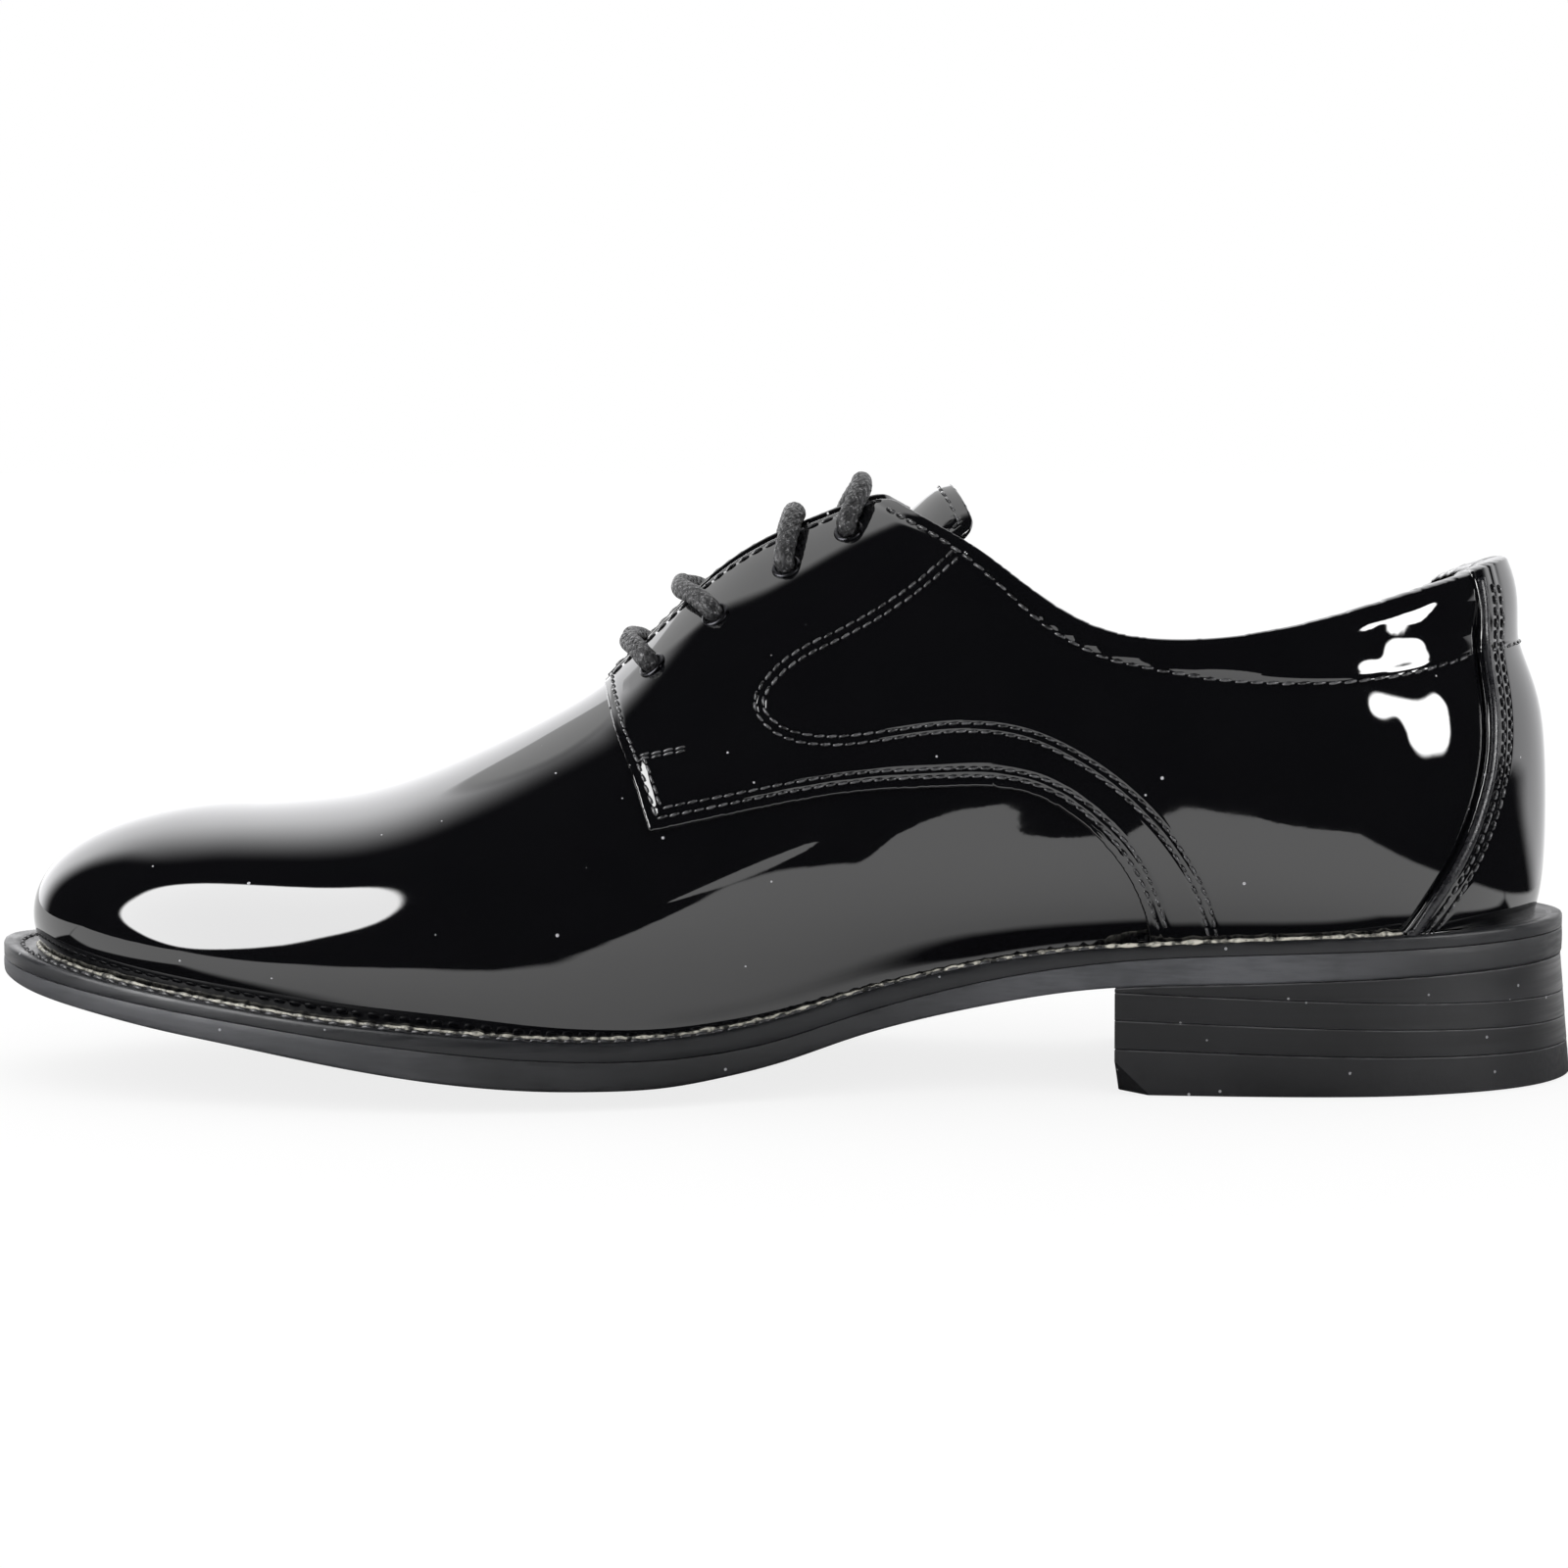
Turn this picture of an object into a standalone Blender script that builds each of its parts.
"""Plain-toe derby shoe for the right foot, built as separate closed parts.

The toe points towards -X, the inner (medial) side of the foot faces -Y, and the ground is z = 0.
Dimensions are in millimetres and become metres, centred in plan, when the meshes are made.
The upper parts are sheets at set offsets from one surface, the last.
"""
import math

import bmesh
import bpy
import numpy as np
from mathutils import Vector

for old_object in list(bpy.data.objects):
    bpy.data.objects.remove(old_object, do_unlink=True)

MM = 0.001
MEDIAL, LATERAL = -1, 1
SIDES = ((MEDIAL, "medial"), (LATERAL, "lateral"))

# ---------------------------------------------------------------- the last: dimensions
# Sections of the last: x, y at the feather edge (medial, lateral), swell beyond the feather
# edge (medial, lateral), height of the widest point (medial, lateral).
SECTIONS = np.array((
    (-144.5, -1.0, -1.0, 1.3, 1.3, 31.0, 31.0),
    (-142.6, -10.0, 8.2, 1.5, 1.5, 30.8, 30.8),
    (-138.0, -17.8, 16.6, 1.8, 1.8, 30.3, 30.3),
    (-130.0, -25.4, 25.2, 2.1, 2.1, 29.5, 29.5),
    (-120.0, -31.6, 32.3, 2.4, 2.4, 28.6, 28.6),
    (-110.0, -36.2, 37.8, 2.6, 2.6, 28.0, 28.0),
    (-100.0, -39.6, 42.0, 2.8, 2.8, 27.6, 27.4),
    (-80.0, -44.2, 47.6, 3.1, 3.0, 28.0, 27.6),
    (-60.0, -46.0, 50.6, 3.3, 3.0, 29.2, 28.2),
    (-45.0, -45.3, 51.2, 3.3, 3.0, 31.0, 29.5),
    (-32.0, -43.4, 50.4, 3.3, 3.0, 33.6, 31.5),
    (-20.0, -40.4, 48.6, 3.4, 3.0, 37.2, 34.5),
    (-8.0, -36.6, 46.0, 3.6, 3.0, 41.8, 38.5),
    (5.0, -32.6, 42.6, 4.1, 3.1, 46.6, 42.5),
    (18.0, -29.7, 39.2, 4.6, 3.3, 50.4, 46.0),
    (32.0, -28.2, 36.0, 4.9, 3.6, 52.6, 49.0),
    (47.0, -28.0, 33.4, 5.0, 3.9, 53.2, 51.0),
    (63.0, -28.8, 32.0, 4.9, 4.1, 52.6, 51.5),
    (81.0, -30.0, 31.8, 4.6, 4.1, 51.6, 51.2),
    (100.0, -30.7, 31.8, 4.0, 3.8, 50.6, 50.6),
    (114.0, -29.6, 30.4, 3.5, 3.5, 50.0, 50.0),
    (126.0, -25.9, 26.4, 3.0, 3.0, 49.6, 49.6),
    (136.0, -19.6, 19.8, 2.3, 2.3, 49.6, 49.6),
    (143.0, -11.0, 11.0, 1.8, 1.8, 49.8, 49.8),
    (146.2, 0.0, 0.0, 1.6, 1.6, 50.0, 50.0),
))
# How far the welt edge stands out from the feather edge at each section.
WELT_MARGIN = np.array((
    7.0, 6.9, 6.3, 5.4, 4.8, 4.5, 4.4, 4.2, 4.1, 4.1, 4.1, 3.9, 3.5,
    2.7, 1.8, 1.3, 1.3, 1.7, 2.3, 2.6, 2.9, 3.5, 4.3, 4.9, 5.2,
))
NARROW_MARGIN = 3.0  # margins below this get the extra on the lateral side
LATERAL_WAIST_EXTRA = 0.9

# The ridge of the last: x, height, curve handle at the widest point, handle at the ridge.
RIDGE = np.array((
    (-100.0, 53.0, 0.585, 0.60),
    (-80.0, 55.5, 0.56, 0.56),
    (-60.0, 62.6, 0.53, 0.50),
    (-45.0, 69.6, 0.50, 0.43),
    (-32.0, 78.0, 0.49, 0.36),
    (-20.0, 90.0, 0.52, 0.31),
    (-8.0, 100.4, 0.57, 0.29),
    (5.0, 107.0, 0.62, 0.30),
    (18.0, 111.8, 0.67, 0.34),
    (32.0, 116.0, 0.71, 0.42),
    (47.0, 119.4, 0.73, 0.50),
    (63.0, 121.6, 0.73, 0.56),
    (81.0, 123.0, 0.72, 0.60),
    (100.0, 124.0, 0.72, 0.60),
))
TOE_POLE = RIDGE[0, 0]  # the sections fan out round these two ridge ends
HEEL_POLE = RIDGE[-1, 0]
POLE_EASE = 14.0
BACK_INSET = 2.7  # the feather edge moves in by this much at the heel
BACK_INSET_X = (100.0, 140.0)
WIDEST = 0.3  # surface parameter t at the widest point
PINCH_Z, PINCH_SPREAD = 84.0, 9.5  # hollow round the rear, below the topline
PINCH_DEPTH, PINCH_BACK_EXTRA = 0.6, 2.0

# Heights along the sole edge: x, welt top, line between welt and outsole, outsole underside.
SOLE_LINES = np.array((
    (-152.0, 26.2, 23.2, 20.2),
    (-145.0, 24.8, 21.8, 18.4),
    (-138.0, 23.5, 20.6, 17.0),
    (-128.0, 21.8, 19.1, 15.3),
    (-117.0, 20.2, 17.6, 13.5),
    (-106.0, 18.7, 16.2, 11.9),
    (-96.0, 17.4, 14.9, 10.3),
    (-86.0, 16.2, 13.6, 8.6),
    (-76.0, 15.3, 12.4, 7.0),
    (-66.0, 14.5, 11.3, 5.6),
    (-56.0, 13.7, 10.3, 4.5),
    (-45.0, 12.9, 9.4, 3.7),
    (-34.0, 12.5, 8.9, 3.4),
    (-22.0, 12.6, 8.9, 3.6),
    (-11.0, 13.6, 9.7, 5.0),
    (0.0, 15.6, 11.6, 7.2),
    (12.0, 18.8, 14.9, 10.7),
    (25.0, 22.0, 18.3, 13.9),
    (40.0, 25.0, 21.6, 16.9),
    (55.0, 27.1, 24.1, 19.3),
    (68.0, 28.2, 25.5, 20.4),
    (84.0, 29.1, 26.4, 21.0),
    (100.0, 29.7, 27.0, 21.6),
    (117.0, 30.2, 27.5, 22.2),
    (134.0, 30.7, 28.0, 22.8),
    (152.0, 31.2, 28.5, 23.4),
))
WELT_TOP, WELT_SEAM, SOLE_UNDERSIDE = 1, 2, 3  # columns of SOLE_LINES
RIM_GAP = 0.35  # from the welt top up to the feather edge

# ---------------------------------------------------------------- bottom: dimensions
COLUMNS = 42  # segments round the shoe
FILLER_COLUMNS = 32
SEAM = 0.15  # half the gap between stacked bottom parts
WELT_INNER_INSET = 7.0
# x and how far the middle of the outsole hangs below its edge.
SOLE_SAG = np.array((
    (-152.0, 0.5), (-120.0, 1.8), (-90.0, 2.8), (-60.0, 3.3), (-34.0, 3.45), (-12.0, 3.2),
    (12.0, 2.5), (38.0, 1.4), (58.0, 0.1), (64.0, 0.0), (152.0, 0.0),
))
# x and y of the line on which the loops of a plate close.
SPINE = np.array(((-100.0, 1.2), (-60.0, 2.3), (-20.0, 4.0), (20.0, 4.2), (60.0, 1.6), (100.0, 0.5)))
FILLER_BACK = -8.0
SHANK_X = (-2.0, 96.0)
SHANK_STATIONS = 9
SHANK_WIDTH = 13.0
SHANK_LIFT, SHANK_THICK = 0.9, 1.1

HEEL_BREAST = 62.0  # x of the heel front on the medial side
BREAST_SLANT = 5.8  # how much further back it is on the lateral side
BREAST_HOLLOW = 2.4
HEEL_BACK = 152.0
HEEL_POINTS = 27
LIFT_LINES = ((19.2, 16.2), (14.0, 11.3), (8.6, 6.4))  # seam height at breast and at back
HEEL_FLARE = 1.1  # growth of the heel outline at the ground
BACK_FLARE_EXTRA = 0.7  # extra share of the flare at the very back
FLARE_TOP = 21.0  # height at which the flare is zero
NOTCH_PLANE = ((61.0, -33.6, 9.6), (71.0, -34.5, -0.6), (60.6, -21.5, -0.6))
NOTCH_DEPTH = 25.0
NAILS = ((78.0, -17.0), (78.0, 17.0), (108.0, -20.0), (108.0, 20.0), (135.0, 0.0))  # x, y
NAIL_RADIUS = 0.9
NAIL_CLEARANCE = 0.2
NAIL_STEPS = 8

# ---------------------------------------------------------------- upper: dimensions
# Offsets from the last: outer face, inner face.
QUARTER = (1.4, 0.15)
BACK_PANEL = (2.8, 1.6)
VAMP = (-0.1, -1.4)
STAY = (-0.1, -1.3)
TOE_PUFF = (-1.6, -2.4)
STIFFENER = (-0.1, -2.5)
LINING_THICK = 0.95
LINING_GAP = 0.3  # between the vamp lining and the quarter lining
TONGUE_THICK = 1.3
TONGUE_GAP = 0.25
TONGUE_LINING_THICK = 1.1
TONGUE_LINING_SHRINK = 0.8
FACING_GAP = 12.6  # width of the opening between the two facings
STAY_GAP_SCALE = 1.06
PADDING_DEPTH = 13.0
PADDING_FRONT = 42.0
LATERAL_DROP = 6.5  # how much lower the topline runs on the lateral side
LOW_ROWS = (0.0, 0.16, WIDEST)  # t of the rows up to the widest point
HIGH_ROWS = 6

# Pattern lines in side view, x and z.
QUARTER_FRONT = [
    (-35.2, 90.0), (-34.2, 78.0), (-32.4, 71.7), (-30.4, 66.5), (-28.1, 61.5), (-26.2, 56.4),
]
QUARTER_BOTTOM = (
    (-24.4, 51.1), (-5.9, 54.9), (14.7, 58.0), (30.2, 58.7), (40.0, 58.6), (48.5, 56.4),
    (56.6, 51.0), (63.6, 43.0), (68.6, 31.2),
)
TOPLINE = (
    (16.8, 113.0), (23.8, 109.0), (35.4, 102.6), (44.0, 96.4), (51.1, 91.4), (61.4, 86.9),
    (70.0, 85.7), (81.0, 86.0), (92.7, 87.8), (110.2, 92.3), (126.2, 96.6), (139.0, 99.3),
    (156.0, 102.0),
)
BACK_FRONT = (
    (127.6, 110.0), (128.4, 97.3), (129.3, 91.8), (129.9, 82.5), (130.9, 71.8), (130.8, 63.6),
    (128.7, 54.2), (124.4, 44.3), (118.6, 35.4), (113.0, 26.0), (111.0, 20.0),
)
VAMP_BACK = (
    (-31.0, 90.0), (-30.5, 79.0), (-28.0, 72.0), (-18.0, 66.5), (0.0, 66.5), (22.0, 67.5),
    (42.0, 66.5), (56.0, 61.0), (68.0, 49.0), (76.0, 33.0),
)
LINING_SPLIT = (
    (-31.0, 90.0), (-30.5, 79.0), (-28.0, 71.0), (-14.0, 60.0), (4.0, 48.0), (12.0, 34.0),
    (14.0, 20.0),
)
STAY_LOWER = (
    (-29.6, 90.0), (-29.0, 78.0), (-26.0, 73.5), (-12.0, 77.0), (4.0, 85.0), (19.0, 94.0),
)
COUNTER = [
    (88.0, 20.0), (88.0, 34.0), (96.0, 50.0), (110.0, 60.0), (128.0, 66.0), (156.0, 68.0),
]
# Medial half of the tongue outline, front to back, x and y.
TONGUE_HALF = [
    (-34.0, -12.0), (-26.0, -19.0), (-10.0, -20.0), (10.0, -20.0), (24.0, -18.5),
    (30.0, -15.0), (33.0, -8.0), (34.0, 0.0),
]
# Far bounds of the cutting prisms, clear of the shoe.
FAR_TOE, FAR_HEEL = -165.0, 165.0
FAR_SIDE = 90.0
FAR_TOP = 140.0

# ---------------------------------------------------------------- lacing: dimensions
EYELETS = ((-24.1, 78.9), (-12.3, 88.5), (0.8, 97.4), (12.6, 104.1))  # x, z, toe end first
EYELET_OUTER = 2.25
EYELET_BORE = 1.6
EYELET_FLANGE = 2.9
EYELET_BOTTOM, FLANGE_UNDER, FLANGE_TOP = -2.9, 1.75, 2.1  # offsets from the last
EYELET_CLEARANCE = 0.35
EYELET_STEPS = 10
BAR_X = (-29.0, -19.0, 1.6, 14.6)  # where each lace bar crosses the facing edges
LACE_RADIUS = 1.3
LACE_CORNER = 1.9
LACE_INSIDE = -4.4  # offset of the lace ends behind the eyelets
TAIL_LENGTH = 3.6
AGLET_RADIUS = 1.2
AGLET_START, AGLET_END = 0.3, 4.8  # along the lace from the end of each tail

# Joints used as origins.
FLEX = (-54.0, 0.0, 9.0)  # where the forefoot bends
HINGE = (-22.0, 66.0)  # x, z at the low front of each quarter


# ---------------------------------------------------------------- curves
def smooth(start, end, x):
    """Smooth step from 0 at start to 1 at end."""
    share = np.clip((np.asarray(x, float) - start) / (end - start), 0, 1)
    return share * share * (3 - 2 * share)


def spline(knots, values, at, period=None):
    """Cubic spline through the values: natural ends, or closed when a period is given."""
    knots = np.asarray(knots, float)
    values = np.asarray(values, float)
    if values.ndim == 1:
        values = values[:, None]
    at = np.atleast_1d(np.asarray(at, float))
    if period is not None:
        knots = np.append(knots, knots[0] + period)
        values = np.vstack([values, values[:1]])
        at = knots[0] + np.mod(at - knots[0], period)
    gap = np.diff(knots)
    slope = np.diff(values, axis=0) / gap[:, None]
    count = len(knots)
    system = np.zeros((count, count))
    target = np.zeros((count, values.shape[1]))
    for i in range(1, count - 1):
        system[i, i - 1 : i + 2] = gap[i - 1], 2 * (gap[i - 1] + gap[i]), gap[i]
        target[i] = 6 * (slope[i] - slope[i - 1])
    if period is None:
        system[0, 0] = system[-1, -1] = 1
    else:
        system[0, 0], system[0, -1] = 1, -1
        system[-1, -1], system[-1, -2] = 2 * gap[-1], gap[-1]
        system[-1, 0], system[-1, 1] = 2 * gap[0], gap[0]
        target[-1] = 6 * (slope[0] - slope[-1])
    second = np.linalg.solve(system, target)  # second derivatives at the knots
    i = np.clip(np.searchsorted(knots, at, side="right") - 1, 0, count - 2)
    past = (at - knots[i])[:, None]
    width = gap[i][:, None]
    first = slope[i] - width * (2 * second[i] + second[i + 1]) / 6
    third = (second[i + 1] - second[i]) / (6 * width)
    return values[i] + past * first + past**2 * second[i] / 2 + past**3 * third


def curve_points(points, count):
    """Points at even chord length along the spline through a pattern line."""
    points = np.array(points, float)
    along = np.concatenate([[0], np.cumsum(np.hypot(*np.diff(points, axis=0).T))])
    return [tuple(point) for point in spline(along, points, np.linspace(0, along[-1], count))]


def eased(distance, width):
    """Zero below -width, distance above width, smooth to the second derivative between."""
    u = np.clip(distance / width, -1, 1)
    return np.where(distance > width, distance, width * (3 + 8 * u + 6 * u**2 - u**4) / 16)


def bezier(start, handle_1, handle_2, end, t):
    t = t[..., None]
    near = start * (1 - t) ** 3 + 3 * handle_1 * t * (1 - t) ** 2
    return near + 3 * handle_2 * t**2 * (1 - t) + end * t**3


def sole_line(x, column):
    """Height at x of one of the lines in SOLE_LINES."""
    x = np.asarray(x, float)
    return spline(SOLE_LINES[:, 0], SOLE_LINES[:, column], x.ravel())[:, 0].reshape(x.shape)


# ---------------------------------------------------------------- the last
# The parameter v runs round the feather edge: 0 toe, along the medial side to 1 at the heel,
# back along the lateral side to 2.  The parameter t runs from the feather edge (0) to the
# ridge (1).
def round_trip(medial, lateral):
    """Section values in order of v; the toe and heel rows are taken from the medial side."""
    return np.concatenate([medial, lateral[-2:0:-1]])


def make_stations():
    """Knots in v and, at each, feather x, y, z, swell and height of the widest point."""
    x = SECTIONS[:, 0]
    rim_z = sole_line(x, WELT_TOP) + RIM_GAP
    medial, lateral = (
        np.column_stack([x, SECTIONS[:, 1 + s], rim_z, SECTIONS[:, 3 + s], SECTIONS[:, 5 + s]])
        for s in (0, 1)
    )
    mean = (medial[:, :2] * (1, -1) + lateral[:, :2]) / 2
    step = np.hypot(*np.diff(mean, axis=0).T)
    v = np.concatenate([[0], np.cumsum(step)]) / step.sum()
    return round_trip(v, 2 - v), round_trip(medial, lateral)


KNOTS, STATIONS = make_stations()
MARGINS = round_trip(
    WELT_MARGIN, WELT_MARGIN + LATERAL_WAIST_EXTRA * (WELT_MARGIN < NARROW_MARGIN)
)


def stations_at(v):
    return spline(KNOTS, STATIONS, v, 2.0)


def ridge_x(feather_x):
    """Where the section through the feather point at feather_x meets the ridge."""
    feather_x = np.asarray(feather_x, float)
    return np.where(
        feather_x < (TOE_POLE + HEEL_POLE) / 2,
        TOE_POLE + eased(feather_x - TOE_POLE, POLE_EASE),
        HEEL_POLE - eased(HEEL_POLE - feather_x, POLE_EASE),
    )


def back_inset(x):
    return BACK_INSET * smooth(*BACK_INSET_X, x)


def last_surface(v, t):
    """Points of the last."""
    v, t = np.broadcast_arrays(np.asarray(v, float), np.asarray(t, float))
    station = stations_at(v.ravel())
    feather, swell, widest_z = station[:, 0:3], station[:, 3], station[:, 4]
    top_x = ridge_x(feather[:, 0])
    top_z, low_handle, high_handle = spline(RIDGE[:, 0], RIDGE[:, 1:], top_x).T
    top = np.column_stack([top_x, 0 * top_x, top_z])
    out = feather[:, :2] - top[:, :2]
    reach = np.hypot(*out.T)
    out = out / reach[:, None]
    inset = back_inset(feather[:, 0])
    feather[:, :2] -= out * inset[:, None]
    span = reach - inset + swell
    widest = np.column_stack([feather[:, :2] + out * swell[:, None], widest_z])
    up = np.array([0, 0, 1.0])
    # Upper curve, from the widest point to the ridge.
    rise = low_handle * (top_z - widest_z)
    above_widest = widest + up * rise[:, None]
    beside_top = top + np.column_stack([out * (high_handle * span)[:, None], 0 * swell])
    # Lower curve, with the same bend at the widest point where the height allows it.
    bend = (2 / 3) * span * (1 - high_handle) / rise**2
    drop = widest_z - feather[:, 2]
    fall = np.minimum(np.sqrt((2 / 3) * swell / bend), 0.85 * drop)
    above_feather = feather + up * (0.12 * drop)[:, None]
    below_widest = widest - up * fall[:, None]
    t = t.ravel()
    low_t, high_t = np.clip(t / WIDEST, 0, 1), np.clip((t - WIDEST) / (1 - WIDEST), 0, 1)
    low = bezier(feather, above_feather, below_widest, widest, low_t)
    high = bezier(widest, above_widest, beside_top, top, high_t)
    points = np.where((t < WIDEST)[:, None], low, high)
    x = points[:, 0]
    pinch = (PINCH_DEPTH + PINCH_BACK_EXTRA * smooth(95, 140, x)) * np.clip((x - 20) / 60, 0, 1)
    pinch = pinch * np.exp(-(((points[:, 2] - PINCH_Z) / PINCH_SPREAD) ** 2))
    points[:, :2] -= out * pinch[:, None]
    return points.reshape(v.shape + (3,))


def column_at(x, side):
    """The v at which the feather edge passes x on one side."""
    v = np.linspace(0.02, 0.98, 400)
    rim_x = stations_at(v if side == MEDIAL else 2 - v)[:, 0]
    found = float(np.interp(x, rim_x, v))
    return found if side == MEDIAL else 2 - found


def spot_at_height(x, z, side):
    """Parameters (v, t) of the last in the section at x and at height z."""
    v = column_at(x, side)
    t = np.linspace(0, 1, 400)
    return v, float(np.interp(z, last_surface(v, t)[:, 2], t))


def spot_at_width(x, y, side):
    """Parameters (v, t) above the widest point in the section at x, at |y| from the middle."""
    v = column_at(x, side)
    t = np.linspace(WIDEST, 1, 400)
    return v, float(np.interp(-abs(y), -np.abs(last_surface(v, t)[:, 1]), t))


def frame_at(v, t):
    """Point and outward normal of the last."""
    step = 1e-4
    t = min(max(t, step), 1 - step)
    point = last_surface(v, t)
    along = last_surface(v + step, t) - last_surface(v - step, t)
    upward = last_surface(v, t + step) - last_surface(v, t - step)
    normal = np.cross(along, upward)
    normal /= np.linalg.norm(normal)
    if normal[2] < 0 and point[2] > 60:
        normal = -normal
    return point, normal


def lifted(spot, amount):
    """The point at an offset from the last over a (v, t) spot."""
    point, normal = frame_at(*spot)
    return point + normal * amount


# ---------------------------------------------------------------- plan outlines
def plan(v):
    """Feather edge in plan, and the outward direction there."""
    feather = stations_at(v)[:, :2]
    pole = ridge_x(feather[:, 0])
    out = feather - np.column_stack([pole, 0 * pole])
    return feather, out / np.hypot(*out.T)[:, None]


def sole_outline(v):
    feather, out = plan(v)
    return feather + out * spline(KNOTS, MARGINS, v, 2.0)


def inset_outline(v, inset):
    """The feather edge of the last moved in by inset."""
    feather, out = plan(v)
    return feather - out * (inset + back_inset(feather[:, 0]))[:, None]


def around(columns=COLUMNS):
    return np.linspace(0, 2, columns, endpoint=False)


def plan_centre():
    """Middle of the shoe in plan, counting the flare at the back of the heel."""
    edge = sole_outline(around())
    back = sole_outline(1.0)[0, 0] + (1 + BACK_FLARE_EXTRA) * HEEL_FLARE
    front, inner = edge.min(axis=0)
    return np.array([(front + back) / 2, (inner + edge[:, 1].max()) / 2, 0.0])


CENTRE = plan_centre()


def to_world(points):
    return (np.asarray(points, float) - CENTRE) * MM


# ---------------------------------------------------------------- mesh helpers
def new_object(name, verts, faces, mat=None):
    """A closed mesh object from points in millimetres; quads are split into triangles."""
    mesh = bpy.data.meshes.new(name)
    bm = bmesh.new()
    made = [bm.verts.new(point) for point in to_world(verts)]
    for face in faces:
        a, b, c = face[:3]
        for part in ((a, b, c), (a, c, face[3])) if len(face) == 4 else (face,):
            # Guards against a face that repeats one already made where columns have merged.
            try:
                bm.faces.new([made[i] for i in part])
            except ValueError:
                pass
    bmesh.ops.remove_doubles(bm, verts=bm.verts, dist=2e-6)
    bmesh.ops.dissolve_degenerate(bm, dist=1e-6, edges=bm.edges)
    bmesh.ops.recalc_face_normals(bm, faces=bm.faces)
    if bm.calc_volume(signed=True) < 0:
        bmesh.ops.reverse_faces(bm, faces=bm.faces)
    bm.to_mesh(mesh)
    bm.free()
    obj = bpy.data.objects.new(name, mesh)
    bpy.context.scene.collection.objects.link(obj)
    if mat:
        mesh.materials.append(mat)
    return obj


def band(count, start=0, end=None):
    """Quads between a ring of points at index start and another at end."""
    end = start + count if end is None else end
    nexts = [(i, (i + 1) % count) for i in range(count)]
    return [(start + i, start + k, end + k, end + i) for i, k in nexts]


def ring_solid(low_ring, high_ring, name="cutter", mat=None):
    """A solid between two matching rings of points."""
    count = len(low_ring)
    caps = [tuple(range(count)), tuple(range(2 * count - 1, count - 1, -1))]
    return new_object(name, list(low_ring) + list(high_ring), caps + band(count), mat)


def side_prism(polygon, low=-FAR_SIDE, high=FAR_SIDE):
    """A cutter: a polygon in x and z, run from y = low to y = high."""
    return ring_solid(*([(x, y, z) for x, z in polygon] for y in (low, high)))


def one_side_prism(polygon, side):
    """A side prism that stops just short of the middle of the shoe."""
    low, high = (-FAR_SIDE, -0.15) if side == MEDIAL else (0.15, FAR_SIDE)
    return side_prism(polygon, low, high)


def plan_prism(polygon, low, high, **looks):
    """A polygon in x and y, run from z = low to z = high."""
    return ring_solid(*([(x, y, z) for x, y in polygon] for z in (low, high)), **looks)


def remove(obj):
    bpy.data.objects.remove(obj, do_unlink=True)


def cut(obj, cutter, operation="DIFFERENCE", keep=False):
    """Applies one exact Boolean and removes the cutter."""
    mod = obj.modifiers.new("cut", "BOOLEAN")
    mod.operation = operation
    mod.object = cutter
    mod.solver = "EXACT"
    graph = bpy.context.evaluated_depsgraph_get()
    mesh = bpy.data.meshes.new_from_object(obj.evaluated_get(graph))
    obj.modifiers.clear()
    old = obj.data
    obj.data = mesh
    mesh.name = old.name
    bpy.data.meshes.remove(old)
    if not keep:
        remove(cutter)
    return obj


def cut_all(bodies, cutter):
    for body in bodies:
        cut(body, cutter, keep=True)
    remove(cutter)


def tidy(obj, origin, smooth_angle=35):
    """Cleans and shades the mesh and puts the origin at a point given in millimetres."""
    mesh = obj.data
    at = Vector(to_world(origin))
    bm = bmesh.new()
    bm.from_mesh(mesh)
    bmesh.ops.remove_doubles(bm, verts=bm.verts, dist=5e-6)
    bmesh.ops.dissolve_degenerate(bm, dist=5e-6, edges=bm.edges)
    bmesh.ops.translate(bm, verts=bm.verts, vec=-at)
    bm.to_mesh(mesh)
    bm.free()
    obj.location = at
    mesh.shade_smooth()
    mesh.set_sharp_from_angle(angle=math.radians(smooth_angle))


def slab(name, outline, top, bottom, mat, fractions):
    """A closed plate in nested loops, from the outline (fraction 1) to the spine (fraction 0).

    The outline is a function of v and its columns; top and bottom give z from x and fraction.
    """
    edge, feather_x = outline
    pole = ridge_x(feather_x)
    spine = np.column_stack([pole, np.interp(pole, *SPINE.T)])
    count = len(edge)
    verts, faces = [], []
    for level in (top, bottom):
        base = len(verts)
        for fraction in fractions:
            loop = spine + fraction * (edge - spine)
            verts += [(x, y, z) for (x, y), z in zip(loop, level(loop[:, 0], fraction))]
        for row in range(len(fractions) - 1):
            quads = band(count, base + row * count)
            faces += quads if level is top else [quad[::-1] for quad in quads]
    half = len(verts) // 2
    faces += [(i, half + i, half + (i + 1) % count, (i + 1) % count) for i in range(count)]
    return new_object(name, verts, faces, mat)


def slab_edge(inset=None, columns=COLUMNS):
    """Edge of a slab, on the sole outline or inset from the feather edge, and the feather x."""
    v = around(columns)
    edge = sole_outline(v) if inset is None else inset_outline(v, inset)
    return edge, plan(v)[0][:, 0]


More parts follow.
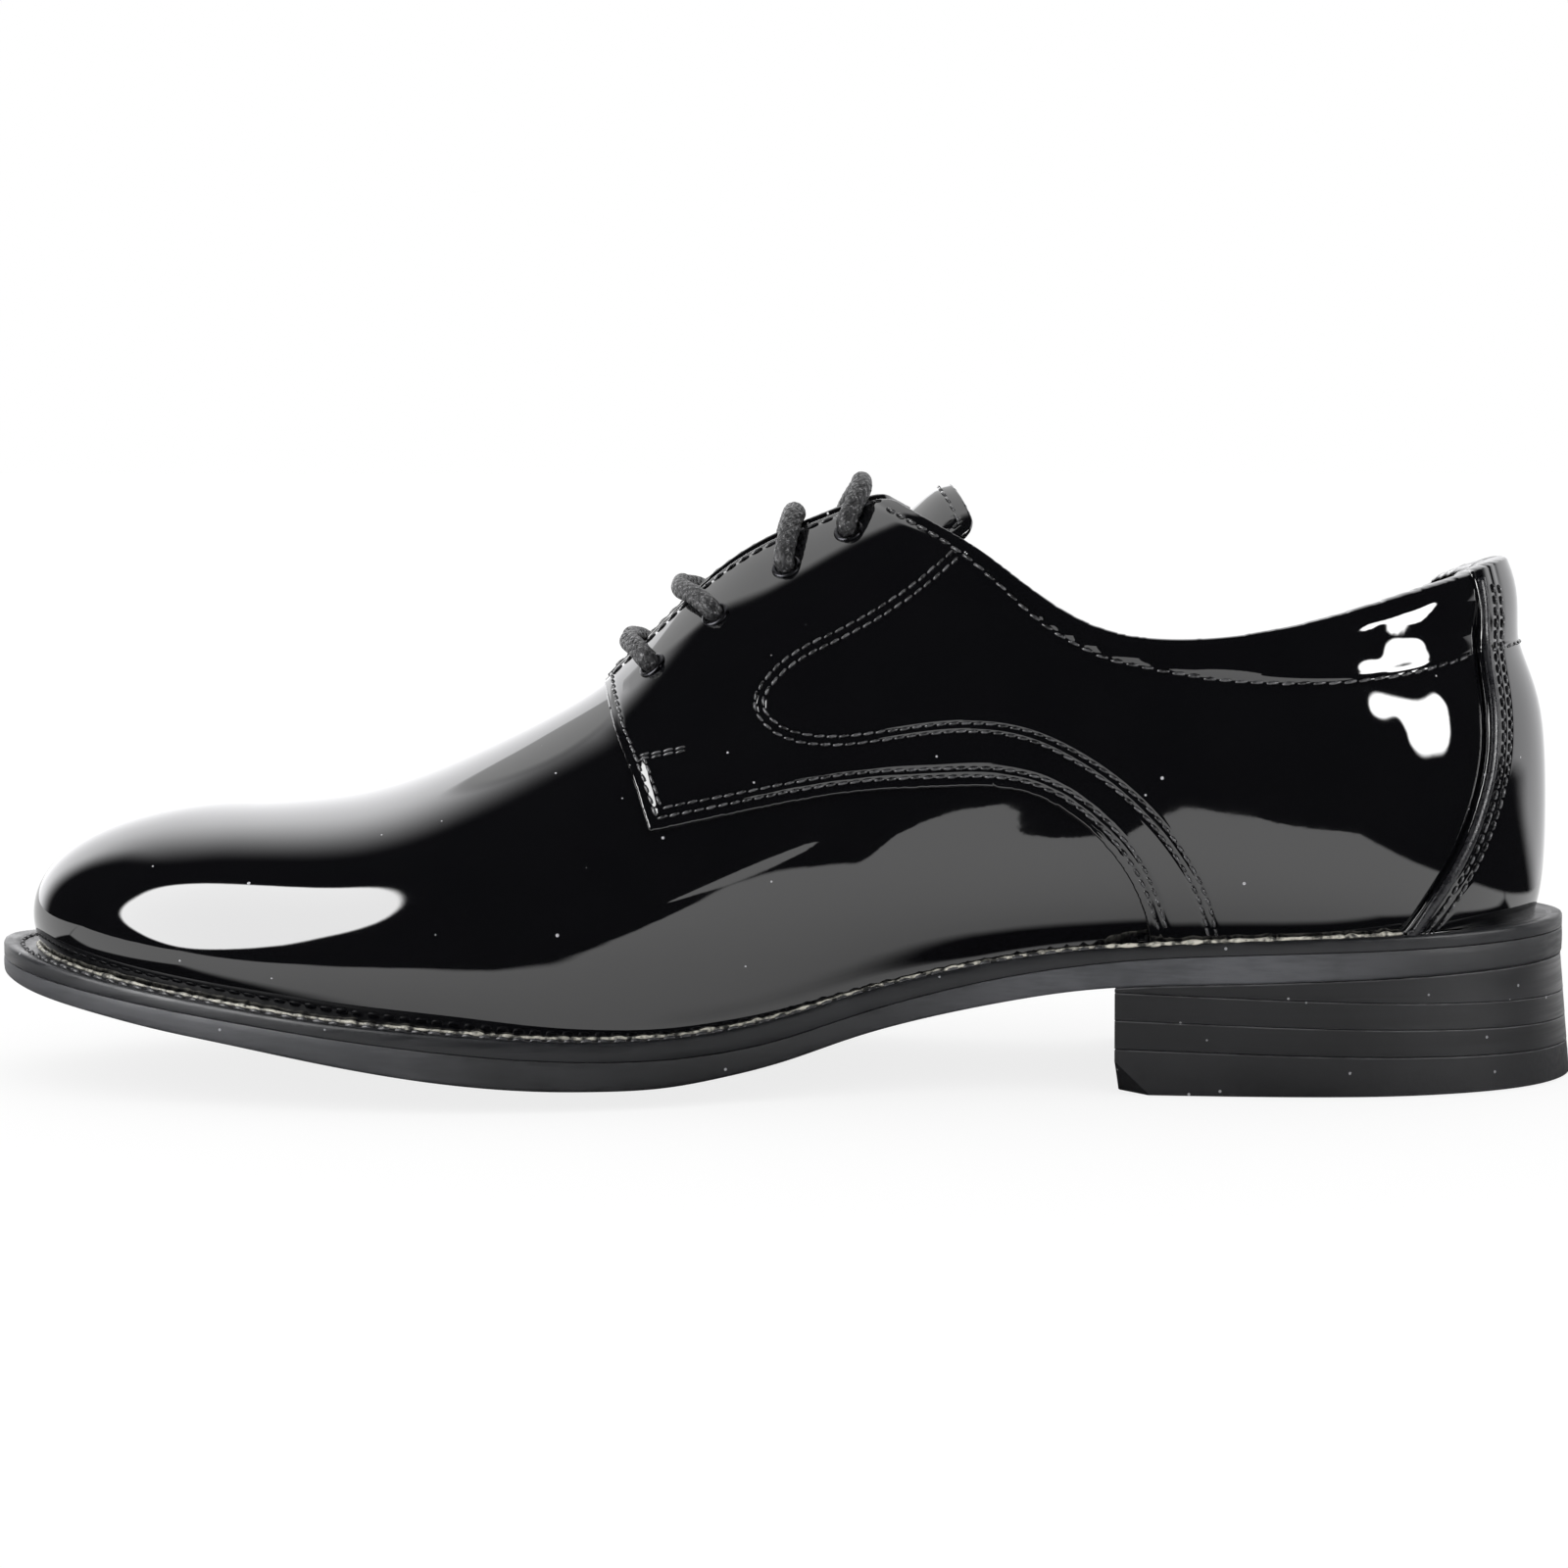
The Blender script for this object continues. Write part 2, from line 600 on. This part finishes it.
def layer(name, outer, inner, mat):
    """A closed sheet over the last between two offsets, each a number or a function of x."""
    rows = np.concatenate([LOW_ROWS, WIDEST + (1 - WIDEST) * np.arange(1, HIGH_ROWS + 1) / HIGH_ROWS])
    grid = last_surface(*np.meshgrid(around(), rows, indexing="ij"))
    columns, height = grid.shape[:2]
    bm = bmesh.new()
    verts = [bm.verts.new(point) for point in grid.reshape(-1, 3)]
    for i in range(columns):
        here, there = i * height, (i + 1) % columns * height
        for j in range(height - 1):
            corners = (here + j, there + j, there + j + 1, here + j + 1)
            bm.faces.new([verts[corner] for corner in corners])
    # Closes the sheet along the ridge.
    bmesh.ops.remove_doubles(bm, verts=bm.verts, dist=0.01)
    bmesh.ops.dissolve_degenerate(bm, dist=0.005, edges=bm.edges)
    bmesh.ops.recalc_face_normals(bm, faces=bm.faces)
    bm.normal_update()
    highest = max(bm.verts, key=lambda vert: vert.co.z)
    flip = -1.0 if highest.normal.z < 0 else 1.0
    points = np.array([vert.co for vert in bm.verts])
    normals = flip * np.array([vert.normal for vert in bm.verts])
    rim = np.array([vert.is_boundary for vert in bm.verts])
    bmesh.ops.triangulate(bm, faces=bm.faces, quad_method="FIXED")
    bm.verts.index_update()
    faces = [[vert.index for vert in face.verts] for face in bm.faces]
    edges = [[vert.index for vert in edge.verts] for edge in bm.edges if edge.is_boundary]
    bm.free()
    sheets = []  # both sides share one triangulation, so stacked layers stay parallel
    for offset in (outer, inner):
        amount = offset(points[:, 0]) if callable(offset) else offset
        sheet = points + normals * np.reshape(amount, (-1, 1))
        sheet[rim, 2] = points[rim, 2]
        sheets.append(sheet)
    count = len(points)
    faces += [[i + count for i in reversed(face)] for face in faces]
    faces += [[a, b, b + count, a + count] for a, b in edges]
    return new_object(name, np.vstack(sheets), faces, mat)


# ---------------------------------------------------------------- materials
def material(name, colour, roughness, metallic=0.0):
    mat = bpy.data.materials.new(name)
    mat.use_nodes = True
    node = mat.node_tree.nodes["Principled BSDF"]
    node.inputs["Base Color"].default_value = (*colour, 1.0)
    node.inputs["Roughness"].default_value = roughness
    node.inputs["Metallic"].default_value = metallic
    mat.diffuse_color = (*colour, 1.0)
    return mat


PATENT = material("patent_leather_black", colour=(0.012, 0.012, 0.014), roughness=0.06)
LINING = material("lining_leather", colour=(0.05, 0.045, 0.042), roughness=0.6)
BOARD = material("stiffener_board", colour=(0.32, 0.26, 0.19), roughness=0.8)
FOAM = material("collar_foam", colour=(0.10, 0.10, 0.10), roughness=0.9)
WELT = material("welt_black", colour=(0.030, 0.031, 0.034), roughness=0.42)
OUTSOLE = material("outsole_black", colour=(0.045, 0.046, 0.050), roughness=0.5)
INSOLE = material("insole_leather", colour=(0.42, 0.27, 0.16), roughness=0.75)
CORK = material("filler_cork", colour=(0.36, 0.22, 0.12), roughness=0.9)
STEEL = material("shank_steel", colour=(0.55, 0.55, 0.56), roughness=0.35, metallic=1.0)
LIFT = material("heel_lift_black", colour=(0.022, 0.023, 0.026), roughness=0.3)
RUBBER = material("top_piece_rubber", colour=(0.02, 0.02, 0.021), roughness=0.5)
EYELET = material("eyelet_black", colour=(0.02, 0.02, 0.022), roughness=0.3, metallic=0.7)
LACE = material("waxed_lace", colour=(0.035, 0.035, 0.038), roughness=0.6)
AGLET = material("aglet_plastic", colour=(0.02, 0.02, 0.02), roughness=0.25)


# ---------------------------------------------------------------- sole
def above(column, amount):
    """A slab level: a sole line raised by amount."""
    return lambda x, fraction: sole_line(x, column) + amount


def sole_under(x, fraction):
    """Underside of the outsole, sagging towards the spine but not below the ground."""
    sag = np.interp(x, *SOLE_SAG.T)
    return np.maximum(sole_line(x, SOLE_UNDERSIDE) - sag * (1 - fraction * fraction), 0.0)


def make_welt():
    v = around()
    outer, inner = sole_outline(v), inset_outline(v, WELT_INNER_INSET)
    verts = []
    for edge, column, lift in (
        (outer, WELT_TOP, 0.0), (outer, WELT_SEAM, SEAM),
        (inner, WELT_SEAM, SEAM), (inner, WELT_TOP, 0.0),
    ):
        heights = sole_line(edge[:, 0], column) + lift
        verts += [(x, y, z) for (x, y), z in zip(edge, heights)]
    faces = []
    for row in range(4):
        faces += band(COLUMNS, row * COLUMNS, (row + 1) % 4 * COLUMNS)
    new_object("welt", verts, faces, WELT)


def make_filler():
    """Filler under the insole, in the forefoot only."""
    filler = slab(
        "bottom_filler", slab_edge(8.6, FILLER_COLUMNS),
        above(WELT_TOP, -0.2), above(WELT_SEAM, 0.2), CORK, (1.0, 0.5, 0.0),
    )
    forefoot = [(-160, -80), (FILLER_BACK, -80), (FILLER_BACK, 80), (-160, 80)]
    cut(filler, plan_prism(forefoot, 0, 60), "INTERSECT")


def make_shank():
    """A flat strip down the middle of the waist."""
    verts, faces = [], []
    for x in np.linspace(*SHANK_X, SHANK_STATIONS):
        low = float(sole_line(x, WELT_SEAM)) + SHANK_LIFT
        high = low + SHANK_THICK
        y = sum(float(sole_outline(column_at(x, side))[0, 1]) for side in (MEDIAL, LATERAL)) / 2
        left, right = y - SHANK_WIDTH / 2, y + SHANK_WIDTH / 2
        verts += [(x, left, low), (x, right, low), (x, right, high), (x, left, high)]
    last = 4 * (SHANK_STATIONS - 1)
    for base in range(0, last, 4):
        faces += band(4, base)
    faces += [(0, 1, 2, 3), (last + 3, last + 2, last + 1, last)]
    new_object("shank", verts, faces, STEEL)


outsole = slab(
    "outsole", slab_edge(), above(WELT_SEAM, -SEAM), sole_under, OUTSOLE, (1.0, 0.75, 0.4, 0.0)
)
make_welt()
make_filler()
slab("insole", slab_edge(5.0), above(WELT_TOP, 2.75), above(WELT_TOP, 0.3), INSOLE, (1.0, 0.5, 0.0))
slab("sock_liner", slab_edge(5.6), above(WELT_TOP, 3.8), above(WELT_TOP, 3.0), LINING, (1.0, 0.5, 0.0))
make_shank()


# ---------------------------------------------------------------- heel
def lift_line(k, x):
    """Height at x of the seam below heel lift k."""
    front, back = LIFT_LINES[k]
    return front + (x - HEEL_BREAST) * (back - front) / (HEEL_BACK - HEEL_BREAST)


def heel_outline(grow):
    """The sole edge behind the breast, grown outwards, then the hollow breast back across."""
    v = around(800)
    edge = sole_outline(v)
    inside = np.where(edge[:, 0] >= HEEL_BREAST + BREAST_SLANT * (edge[:, 1] > 0))[0]
    pick = inside[np.linspace(0, len(inside) - 1, HEEL_POINTS).round().astype(int)]
    out = plan(v[pick])[1]
    back = smooth(120, 150, edge[pick, 0])
    points = edge[pick] + out * (grow * (1 + BACK_FLARE_EXTRA * back))[:, None]
    lateral_y, medial_y = points[-1, 1], points[0, 1]
    breast = []
    for w in (0.2, 0.4, 0.6, 0.8):
        x = HEEL_BREAST + BREAST_SLANT * (1 - w) + BREAST_HOLLOW * 4 * w * (1 - w)
        breast.append((x, lateral_y + w * (medial_y - lateral_y)))
    points[0, 0], points[-1, 0] = HEEL_BREAST, HEEL_BREAST + BREAST_SLANT
    return np.vstack([points, breast])


def make_lift(name, top, bottom, mat):
    """One slice of the heel; top and bottom give z from x."""
    base = heel_outline(0.0)
    flare = heel_outline(1.0) - base
    verts = []
    for level in (top, bottom):
        grow = HEEL_FLARE * (1 - level(base[:, 0]) / FLARE_TOP)
        ring = base + flare * grow[:, None]
        verts += [(x, y, z) for (x, y), z in zip(ring, level(ring[:, 0]))]
    count = len(base)
    centre = np.mean([vert[:2] for vert in verts[:count]], axis=0)
    verts += [(*centre, float(level(centre[0]))) for level in (top, bottom)]
    faces = band(count)
    faces += [(i, (i + 1) % count, 2 * count) for i in range(count)]
    faces += [(count + (i + 1) % count, count + i, 2 * count + 1) for i in range(count)]
    return new_object(name, verts, faces, mat)


def cut_notch(body):
    """The slanted cut across the inner front corner of the top piece."""
    corners = np.array(NOTCH_PLANE)
    normal = np.cross(corners[1] - corners[0], corners[2] - corners[0])
    normal /= np.linalg.norm(normal)
    if normal[0] > 0:
        normal = -normal
    middle = corners.mean(axis=0)
    triangle = middle + 3 * (corners - middle)
    verts = np.vstack([triangle, triangle + NOTCH_DEPTH * normal])
    faces = [(0, 1, 2), (5, 4, 3), (0, 3, 4, 1), (1, 4, 5, 2), (2, 5, 3, 0)]
    cut(body, new_object("cutter", verts, faces))


def make_nail(name, x, y, bodies):
    """A heel nail, with a clear hole for it through the bodies."""
    def circle(radius):
        angles = np.arange(NAIL_STEPS) * math.tau / NAIL_STEPS
        return [(x + radius * math.cos(a), y + radius * math.sin(a)) for a in angles]

    low = float(lift_line(2, x)) + 0.8
    high = float(sole_line(x, WELT_SEAM)) - 0.9
    nail = plan_prism(circle(NAIL_RADIUS), low, high, name=name, mat=STEEL)
    cut_all(bodies, plan_prism(circle(NAIL_RADIUS + NAIL_CLEARANCE), low - 0.4, high + 3.0))
    tidy(nail, (x, y, low))


lifts = [
    make_lift(
        "heel_lift_1",
        lambda x: sole_line(x, SOLE_UNDERSIDE) - 2 * SEAM, lambda x: lift_line(0, x) + SEAM, LIFT,
    )
]
for k in (1, 2):
    lifts.append(make_lift(
        f"heel_lift_{k + 1}",
        lambda x: lift_line(k - 1, x) - SEAM, lambda x: lift_line(k, x) + SEAM, LIFT,
    ))
cut_notch(make_lift("top_piece", lambda x: lift_line(2, x) - SEAM, lambda x: 0.0 * x, RUBBER))
for k, (nail_x, nail_y) in enumerate(NAILS):
    make_nail(f"heel_nail_{k + 1}", nail_x, nail_y, [outsole] + lifts)

# ---------------------------------------------------------------- upper
topline = curve_points(TOPLINE, 13)
topline_lateral = [
    (x, z - float(LATERAL_DROP * smooth(30, 55, x) * (1 - smooth(118, 140, x))))
    for x, z in topline
]
lining_split = curve_points(LINING_SPLIT, 8)


def trim_top(obj):
    """Cuts off everything above the topline, which runs lower on the lateral side."""
    for line, low, high in ((topline, -FAR_SIDE, 0.0), (topline_lateral, -0.01, FAR_SIDE)):
        cut(obj, side_prism(line + [(FAR_HEEL, FAR_TOP), (-40.0, FAR_TOP)], low, high))


def open_facing(obj, scale=1.0):
    """Cuts the opening between the facings."""
    half = FACING_GAP / 2 * scale
    box = [(-60.0, -half), (27.0, -half), (27.0, half), (-60.0, half)]
    cut(obj, plan_prism(box, 55, FAR_TOP))


def make_quarter(word, side):
    obj = layer(f"quarter_{word}", *QUARTER, PATENT)
    top = topline if side == MEDIAL else topline_lateral
    area = QUARTER_FRONT + curve_points(QUARTER_BOTTOM, 11)
    area += [(70.5, 20.0), (FAR_HEEL, 20.0), (FAR_HEEL, TOPLINE[-1][1])]
    area += top[::-1][1:] + [(16.0, 135.0), (QUARTER_FRONT[0][0], 135.0)]
    cut(obj, one_side_prism(area, side), "INTERSECT")
    open_facing(obj)
    return obj


def make_back_panel():
    """The strip over the back of the heel."""
    obj = layer("back_panel", *BACK_PANEL, PATENT)
    area = curve_points(BACK_FRONT, 9) + [(FAR_HEEL, 20.0), (FAR_HEEL, 118.0)]
    cut(obj, side_prism(area), "INTERSECT")
    trim_top(obj)


def make_vamp():
    area = curve_points(VAMP_BACK, 11) + [(78.0, 15.0), (FAR_TOE, 15.0), (FAR_TOE, 90.0)]
    cut(layer("vamp", *VAMP, PATENT), side_prism(area), "INTERSECT")


def make_toe_puff():
    area = [(-98.0, 90.0), (-96.0, 15.0), (FAR_TOE, 15.0), (FAR_TOE, 90.0)]
    cut(layer("toe_puff", *TOE_PUFF, BOARD), side_prism(area), "INTERSECT")


def lining_outer(x):
    """Offset of the lining, deeper behind the toe puff and the stiffeners."""
    toe = 1.0 - smooth(-92, -84, x)
    rear = smooth(17.5, 26, x)
    return -1.7 - 1.1 * np.maximum(toe, rear)


def make_lining(name, area):
    obj = layer(name, lining_outer, lambda x: lining_outer(x) - LINING_THICK, LINING)
    return cut(obj, side_prism(area), "INTERSECT")


def make_quarter_lining():
    area = [(x + LINING_GAP, z) for x, z in lining_split]
    area += [(FAR_HEEL, 20.0), (FAR_HEEL, 138.0), (-30.7, 138.0)]
    obj = make_lining("quarter_lining", area)
    trim_top(obj)
    open_facing(obj)
    return obj


def make_stay(word, side):
    """The strip behind the eyelets of one facing."""
    obj = layer(f"facing_stay_{word}", *STAY, BOARD)
    area = curve_points(STAY_LOWER, 6) + [(19.0, 135.0), (-29.6, 135.0)]
    cut(obj, one_side_prism(area, side), "INTERSECT")
    cut(obj, side_prism(topline + [(FAR_HEEL, FAR_TOP), (16.0, FAR_TOP)]))
    open_facing(obj, STAY_GAP_SCALE)
    return obj


def make_collar_padding():
    """Foam along the rear of the topline."""
    obj = layer("collar_padding", *STIFFENER, FOAM)
    area = [(x, z - PADDING_DEPTH) for x, z in topline if x > PADDING_FRONT]
    area += [(FAR_HEEL, 90.0), (FAR_HEEL, 138.0), (area[0][0], 138.0)]
    cut(obj, side_prism(area), "INTERSECT")
    trim_top(obj)


def make_heel_counter():
    area = COUNTER + [(FAR_HEEL, 68.0), (FAR_HEEL, 20.0)]
    cut(layer("heel_counter", *STIFFENER, BOARD), side_prism(area), "INTERSECT")


def tongue_outer(x):
    """Offset of the tongue, deepest under the facings."""
    return -3.0 - 3.7 * smooth(-34, -27, x) + 3.6 * smooth(15, 29, x)


def tongue_sheet(name, depth, thick, mat, shrink=0.0):
    """A sheet of the tongue, depth below its outer face and smaller by shrink."""
    obj = layer(
        name, lambda x: tongue_outer(x) - depth, lambda x: tongue_outer(x) - depth - thick, mat
    )
    whole = TONGUE_HALF + [(x, -y) for x, y in TONGUE_HALF[-2::-1]]
    area = [(x - (shrink if x > 30 else 0), y * (1 - shrink / 20)) for x, y in whole]
    cut(obj, plan_prism(area, 62, FAR_TOP), "INTERSECT")


quarters = {side: make_quarter(word, side) for side, word in SIDES}
make_back_panel()
make_vamp()
make_toe_puff()
make_lining("vamp_lining", lining_split + [(FAR_TOE, 20.0), (FAR_TOE, 90.0)])
quarter_lining = make_quarter_lining()
stays = {side: make_stay(word, side) for side, word in SIDES}
make_collar_padding()
make_heel_counter()
tongue_sheet("tongue", 0.0, TONGUE_THICK, PATENT)
tongue_sheet(
    "tongue_lining", TONGUE_THICK + TONGUE_GAP, TONGUE_LINING_THICK, LINING, TONGUE_LINING_SHRINK
)


# ---------------------------------------------------------------- eyelets
def circle_about(centre, normal, radius, height):
    """A ring of points round the normal, at a height along it."""
    normal = Vector(normal).normalized()
    across = normal.cross(Vector((1, 0, 0))).normalized()
    a, b, n = np.array(across), np.array(normal.cross(across)), np.array(normal)
    angles = np.arange(EYELET_STEPS) * math.tau / EYELET_STEPS
    return [
        centre + a * radius * math.cos(w) + b * radius * math.sin(w) + n * height for w in angles
    ]


def make_eyelet(name, centre, normal):
    """A flanged tube."""
    profile = (  # radius, height
        (EYELET_BORE, EYELET_BOTTOM), (EYELET_OUTER, EYELET_BOTTOM),
        (EYELET_OUTER, FLANGE_UNDER), (EYELET_FLANGE, FLANGE_UNDER),
        (EYELET_BORE + 0.1, FLANGE_TOP),
    )
    verts, faces = [], []
    for row, (radius, height) in enumerate(profile):
        verts += circle_about(centre, normal, radius, height)
        next_row = (row + 1) % len(profile)
        faces += band(EYELET_STEPS, row * EYELET_STEPS, next_row * EYELET_STEPS)
    tidy(new_object(name, verts, faces, EYELET), centre, 40)


eyelet_frames = {}  # point and normal of the last at each (side, number)
for side, word in SIDES:
    for k, (eyelet_x, eyelet_z) in enumerate(EYELETS):
        point, normal = frame_at(*spot_at_height(eyelet_x, eyelet_z, side))
        eyelet_frames[side, k] = (point, normal)
        hole_radius = EYELET_OUTER + EYELET_CLEARANCE
        hole = ring_solid(*(circle_about(point, normal, hole_radius, h) for h in (-8.0, 6.0)))
        cut_all((quarters[side], stays[side], quarter_lining), hole)
        make_eyelet(f"eyelet_{word}_{k + 1}", point, normal)


# ---------------------------------------------------------------- lace
def unit(vector):
    return vector / np.linalg.norm(vector)


def rounded(points, radius):
    """A polyline with each corner replaced by a short arc of three points."""
    result = [points[0]]
    for before, corner, after in zip(points, points[1:], points[2:]):
        to_before, to_after = before - corner, after - corner
        lengths = np.linalg.norm(to_before), np.linalg.norm(to_after)
        reach = min(radius, 0.45 * lengths[0], 0.45 * lengths[1])
        start, end = corner + unit(to_before) * reach, corner + unit(to_after) * reach
        for s in (0.0, 0.5, 1.0):
            result.append((1 - s) ** 2 * start + 2 * s * (1 - s) * corner + s**2 * end)
    result.append(points[-1])
    return result


def tube(name, points, radius, mat):
    """A capped round tube along a polyline, as a mesh."""
    curve = bpy.data.curves.new(name, "CURVE")
    curve.dimensions = "3D"
    curve.bevel_depth = radius * MM
    curve.bevel_resolution = 1
    curve.use_fill_caps = True
    line = curve.splines.new("POLY")
    line.points.add(len(points) - 1)
    for knot, point in zip(line.points, points):
        knot.co = (*to_world(point), 1.0)
    helper = bpy.data.objects.new("curve_helper", curve)
    bpy.context.scene.collection.objects.link(helper)
    graph = bpy.context.evaluated_depsgraph_get()
    mesh = bpy.data.meshes.new_from_object(helper.evaluated_get(graph))
    remove(helper)
    bpy.data.curves.remove(curve)
    obj = bpy.data.objects.new(name, mesh)
    mesh.name = name
    mesh.materials.clear()
    mesh.materials.append(mat)
    bpy.context.scene.collection.objects.link(obj)
    return obj


def eyelet_point(side, k, height):
    point, normal = eyelet_frames[side, k]
    return point + normal * height


def half_bar(k, side):
    """Half a lace bar, from inside its eyelet to the edge of the facing."""
    middle_x = (EYELETS[k][0] + BAR_X[k]) / 2
    middle_y = (abs(eyelet_frames[side, k][0][1]) + FACING_GAP / 2) / 2
    return [
        eyelet_point(side, k, LACE_INSIDE),
        eyelet_point(side, k, 3.5),
        lifted(spot_at_width(middle_x, middle_y, side), 3.4),
        lifted(spot_at_width(BAR_X[k], FACING_GAP / 2 - 0.6, side), 3.2),
    ]


def lace_tail(k, toward):
    """End of the lace behind medial eyelet k, and its direction towards another eyelet."""
    start = eyelet_point(MEDIAL, k, LACE_INSIDE)
    direction = unit(eyelet_point(MEDIAL, toward, LACE_INSIDE) - start)
    return start + direction * TAIL_LENGTH, direction


def make_lace():
    """One lace, crossing from alternate sides, with an aglet at each end."""
    tails = [lace_tail(0, 1), lace_tail(3, 2)]
    path = [tails[0][0]]
    for k in range(len(EYELETS)):
        first = MEDIAL if k % 2 == 0 else LATERAL
        path += half_bar(k, first) + half_bar(k, -first)[::-1]
    path.append(tails[1][0])
    tube("lace", rounded(path, LACE_CORNER), LACE_RADIUS, LACE)
    for k, (end, direction) in enumerate(tails):
        ends = [end + direction * along for along in (AGLET_START, AGLET_END)]
        tidy(tube(f"aglet_{k + 1}", ends, AGLET_RADIUS, AGLET), ends[0], 40)


make_lace()

# ---------------------------------------------------------------- origins
origins = {
    "outsole": (0.0, 0.0, 0.0),
    "heel_lift_1": (105.0, 0.0, 17.0),
    "heel_lift_2": (105.0, 0.0, 12.0),
    "heel_lift_3": (105.0, 0.0, 7.0),
    "top_piece": (105.0, 0.0, 0.0),
    "shank": (45.0, 0.0, 22.0),
    "quarter_lining": (80.0, 0.0, 30.0),
    "back_panel": (145.0, 0.0, 32.0),
    "collar_padding": (145.0, 0.0, 98.0),
    "heel_counter": (143.0, 0.0, 32.0),
    "lace": lifted(spot_at_width(-29.0, 0.5, MEDIAL), 3.0),
}
for name in (
    "welt", "insole", "sock_liner", "bottom_filler", "vamp", "vamp_lining", "toe_puff",
):
    origins[name] = FLEX
throat = lifted(spot_at_width(-28.0, 3.0, MEDIAL), -6.0) * np.array([1, 0, 1])
for name in ("tongue", "tongue_lining"):
    origins[name] = throat
for side, word in SIDES:
    hinge = lifted(spot_at_height(*HINGE, side), 0.0)
    origins[f"quarter_{word}"] = hinge
    origins[f"facing_stay_{word}"] = hinge
for name, origin in origins.items():
    tidy(bpy.data.objects[name], origin)
